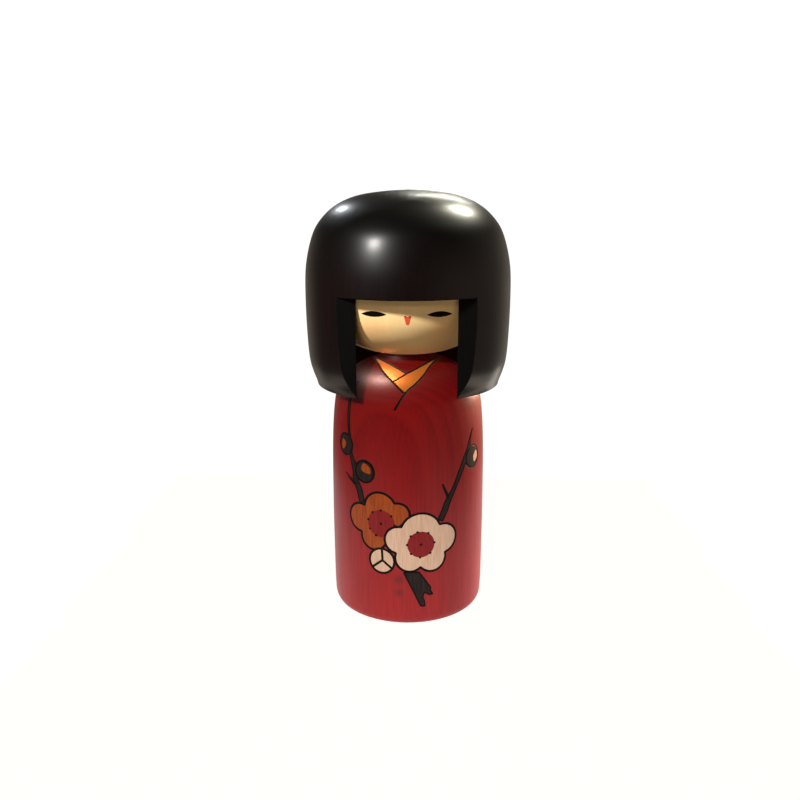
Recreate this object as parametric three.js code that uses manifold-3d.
// A creative kokeshi doll of turned wood: a tapered body, a barrel-shaped head, a hollow
// lacquered bell of hair with its front sliced off flat, and the neck peg that holds them together.
// Millimetres, +Z up, the origin at the centre of the base, the face looks along -Y.

import * as THREE from 'three';
import { mergeVertices } from 'three/addons/utils/BufferGeometryUtils.js';
import Module from 'manifold-3d';

const wasm = await Module();
wasm.setup();

// Driving dimensions
const HEIGHT = 155;              // floor to crown
const HAIR_RADIUS = 37.2;        // widest, level with the fringe
const BODY_RADIUS = 28.85;       // widest, a little under half the body's height
const BASE_RADIUS = 27.1;        // flat of the base, inside its rounded edge
const CAVITY_RADIUS = 33.3;      // bore of the hair bell
const CAVITY_TOP = 147;          // ceiling of the hair's hollow
const HAIR_HEM = 86;             // lowest edge of the hair
const FRINGE_HEIGHT = 120.5;     // underside of the fringe
const FACE_CUT = 28.8;           // the flat front cut, measured forwards from the axis
const NECK_TOP = 97;             // seat on the body that carries the head
const PEG_RADIUS = 6;
const PEG_BOTTOM = 76;
const PEG_TOP = 124;
const GAP = 0.3;                 // clearance between neighbouring pieces

// Facets round the axis
const ROUND_SEGMENTS = 48;
const BORE_SEGMENTS = 32;

// Outline of a turned piece: smooth through the points, each one a radius and a height.
function turnedCurve(points, steps) {
  const curve = new THREE.SplineCurve(points.map(([r, z]) => new THREE.Vector2(r, z)));
  return curve.getSpacedPoints(steps);
}

// LatheGeometry turns its profile round +Y; the doll stands along +Z.
function turn(profile, segments) {
  const geometry = new THREE.LatheGeometry(profile, segments);
  geometry.rotateX(Math.PI / 2);
  return geometry;
}

function toSolid(geometry) {
  geometry.deleteAttribute('normal');
  geometry.deleteAttribute('uv');
  const merged = mergeVertices(geometry, 1e-4);
  return new wasm.Manifold(new wasm.Mesh({
    numProp: 3,
    vertProperties: new Float32Array(merged.attributes.position.array),
    triVerts: new Uint32Array(merged.index.array),
  }));
}

function toGeometry(solid) {
  const mesh = solid.getMesh();
  const geometry = new THREE.BufferGeometry();
  geometry.setAttribute('position', new THREE.BufferAttribute(new Float32Array(mesh.vertProperties), 3));
  geometry.setIndex(new THREE.BufferAttribute(new Uint32Array(mesh.triVerts), 1));
  geometry.computeVertexNormals();
  return geometry;
}

// A round tool that cuts a bore from one height to another.
function boreTool(radius, bottom, top) {
  const profile = [[0, bottom], [radius, bottom], [radius, top], [0, top]];
  return toSolid(turn(profile.map(([r, z]) => new THREE.Vector2(r, z)), BORE_SEGMENTS));
}

function piece(name, geometry, color, roughness, metalness) {
  const mesh = new THREE.Mesh(geometry, new THREE.MeshStandardMaterial({ color, roughness, metalness }));
  mesh.name = name;
  return mesh;
}

// Body: a slightly barrelled column, rounded at the base, with a dome of shoulders
// that rises under the hair to a short neck with a flat seat and a socket for the peg.
function body() {
  const side = turnedCurve([
    [BODY_RADIUS - 0.2, 5],
    [BODY_RADIUS - 0.05, 20],
    [BODY_RADIUS, 40],
    [BODY_RADIUS - 0.4, 65],
    [BODY_RADIUS - 1.65, 80],
    [25.2, 85.5],
    [21.6, 89.8],
    [16.5, 92.9],
    [11.5, 94.9],
    [9, NECK_TOP - 0.5],
  ], 15);
  const profile = [
    new THREE.Vector2(0, 0),
    new THREE.Vector2(BASE_RADIUS, 0),
    new THREE.Vector2(BASE_RADIUS + 0.8, 0.8),
    new THREE.Vector2(BASE_RADIUS + 1.25, 2.4),
    ...side,
    new THREE.Vector2(8.5, NECK_TOP),
    new THREE.Vector2(0, NECK_TOP),
  ];
  const blank = toSolid(turn(profile, ROUND_SEGMENTS));
  const socket = boreTool(PEG_RADIUS + GAP, PEG_BOTTOM - GAP, HEIGHT);
  return piece('body', toGeometry(blank.subtract(socket)), 0x9a2426, 0.42, 0);
}

// Head: a barrel that fills the hair's bore, rounded in below to the chin, bored for the peg.
function head() {
  const radius = CAVITY_RADIUS - 0.5;
  const chin = NECK_TOP + GAP;
  const side = turnedCurve([
    [8, chin],
    [17, chin + 1.9],
    [25.2, chin + 6.4],
    [30.4, chin + 13],
    [radius - 0.35, chin + 21],
    [radius, 124],
    [radius - 0.6, 132],
    [28.8, 140.5],
    [22, CAVITY_TOP - 0.6],
  ], 15);
  const profile = [
    new THREE.Vector2(0, chin),
    ...side,
    new THREE.Vector2(0, CAVITY_TOP - 0.6),
  ];
  const blank = toSolid(turn(profile, ROUND_SEGMENTS));
  const bore = boreTool(PEG_RADIUS + GAP, 0, PEG_TOP + GAP);
  return piece('head', toGeometry(blank.subtract(bore)), 0xe3c89c, 0.5, 0);
}

// Hair: a bell, bored out from below, its front sliced off flat under the fringe.
function hair() {
  const outside = turnedCurve([
    [CAVITY_RADIUS + 0.25, HAIR_HEM],
    [34, HAIR_HEM + 1.6],
    [35.25, 91],
    [36.3, 95.5],
    [36.9, 104],
    [HAIR_RADIUS, 117],
    [36.7, 129],
    [34.2, 139.4],
    [30.6, 145.4],
    [25.2, 150],
    [18, 153],
    [9, HEIGHT - 0.55],
    [0, HEIGHT],
  ], 20);
  const inside = [
    [0, CAVITY_TOP],
    [22.6, CAVITY_TOP],
    [29.4, 140.9],
    [CAVITY_RADIUS - 0.4, 132],
    [CAVITY_RADIUS, 124],
    [CAVITY_RADIUS, HAIR_HEM],
  ];
  const profile = [
    ...inside.map(([r, z]) => new THREE.Vector2(r, z)),
    ...outside,
  ];
  const bell = toSolid(turn(profile, ROUND_SEGMENTS));

  const depth = HAIR_RADIUS;
  const below = FRINGE_HEIGHT - HAIR_HEM + depth;
  const slice = new THREE.BoxGeometry(4 * HAIR_RADIUS, depth, below);
  slice.translate(0, -FACE_CUT - depth / 2, FRINGE_HEIGHT - below / 2);
  return piece('hair', toGeometry(bell.subtract(toSolid(slice))), 0x17110f, 0.22, 0);
}

// Neck peg: a plain dowel with softened ends, glued in the head and free to turn in the body.
function neckPeg() {
  const soften = 0.8;
  const profile = [
    [0, PEG_BOTTOM],
    [PEG_RADIUS - soften, PEG_BOTTOM],
    [PEG_RADIUS, PEG_BOTTOM + soften],
    [PEG_RADIUS, PEG_TOP - soften],
    [PEG_RADIUS - soften, PEG_TOP],
    [0, PEG_TOP],
  ];
  const geometry = turn(profile.map(([r, z]) => new THREE.Vector2(r, z)), BORE_SEGMENTS);
  return piece('neck_peg', geometry, 0xd2b07c, 0.6, 0);
}

// The head, the hair and the peg turn together on the body.
const turning = new THREE.Group();
turning.add(head(), hair(), neckPeg());

const doll = new THREE.Group();
doll.add(body(), turning);

export default doll;
